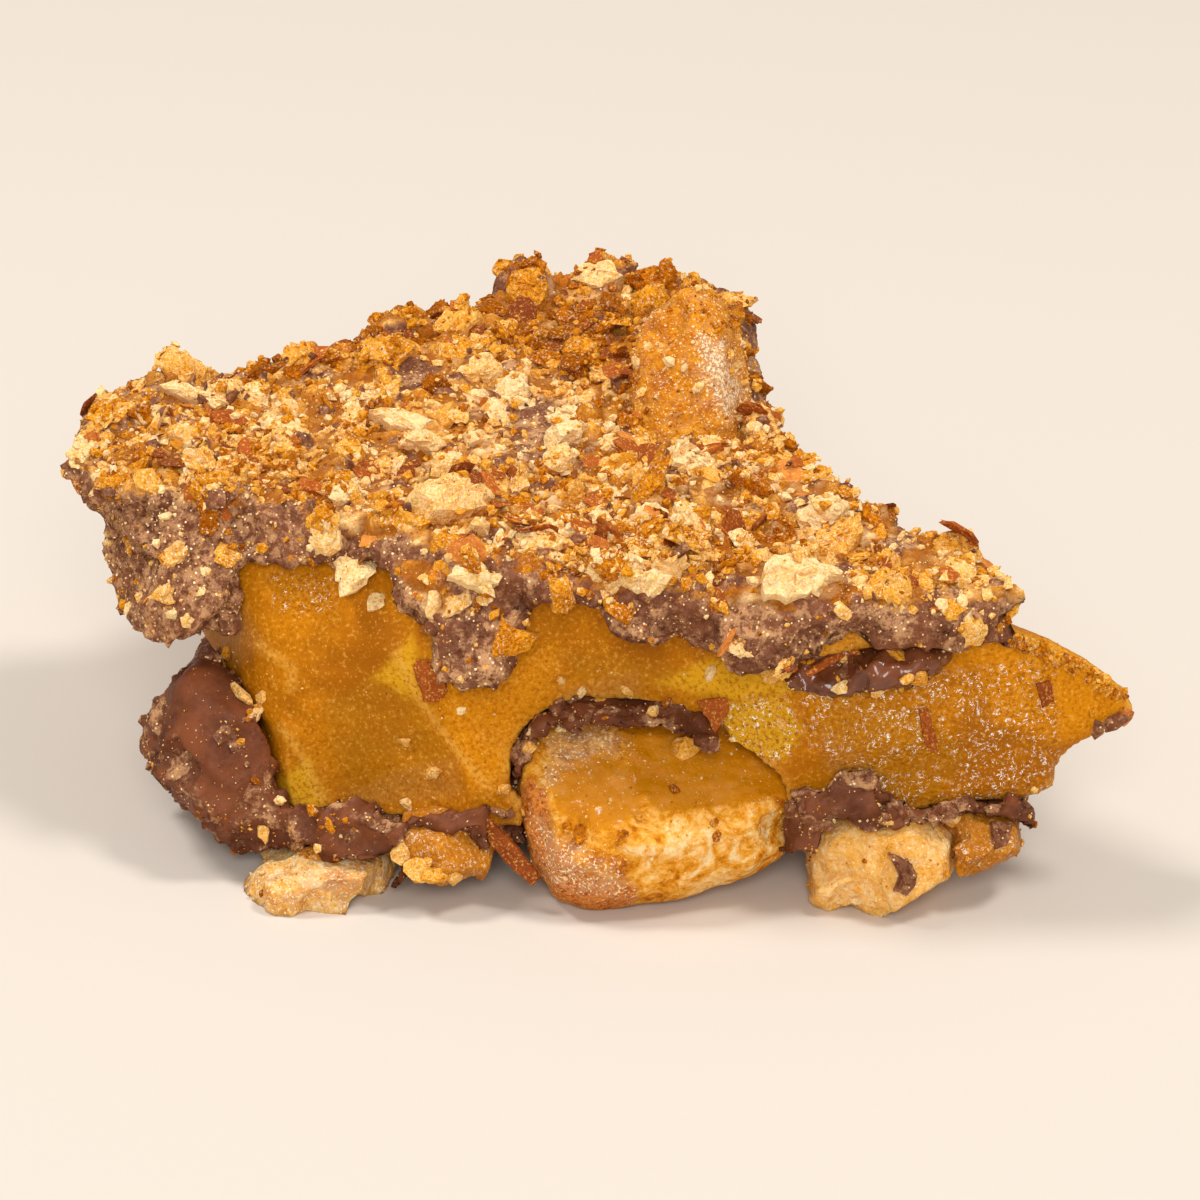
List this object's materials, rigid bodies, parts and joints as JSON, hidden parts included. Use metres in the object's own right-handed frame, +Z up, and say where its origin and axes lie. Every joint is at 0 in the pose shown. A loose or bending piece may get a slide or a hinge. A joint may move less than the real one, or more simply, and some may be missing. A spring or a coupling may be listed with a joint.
{
  "type": "english toffee",
  "caption": "Broken piece of english toffee between chocolate coats, topped with crushed roasted almonds, with broken almonds underneath.",
  "frame": {"origin": "on the table, under the middle of the piece's bounding box", "axes": "+X along the longest side towards the toffee's tip, -Y out of the broken front, +Z up"},
  "size_m": [0.0528, 0.0426, 0.0229],
  "materials": {
    "toffee": "glossy translucent amber, glittering where it broke",
    "chocolate": "satin milk chocolate, dusty where it broke",
    "nut_crumbs": "matt crushed roasted almond over chocolate",
    "almond": "matt roasted almond with traces of brown skin"
  },
  "bodies": {
    "root": {"toffee": "toffee", "chocolate_top": "nut_crumbs", "chocolate_base": "chocolate", "chocolate_seam": "chocolate", "toffee_chip_left": "toffee", "toffee_chip_right": "toffee", "almond_front": "almond", "almond_right": "almond", "almond_left": "almond", "almond_back_left": "almond", "almond_back_right": "almond", "almond_top": "almond"}
  },
  "joints": []
}
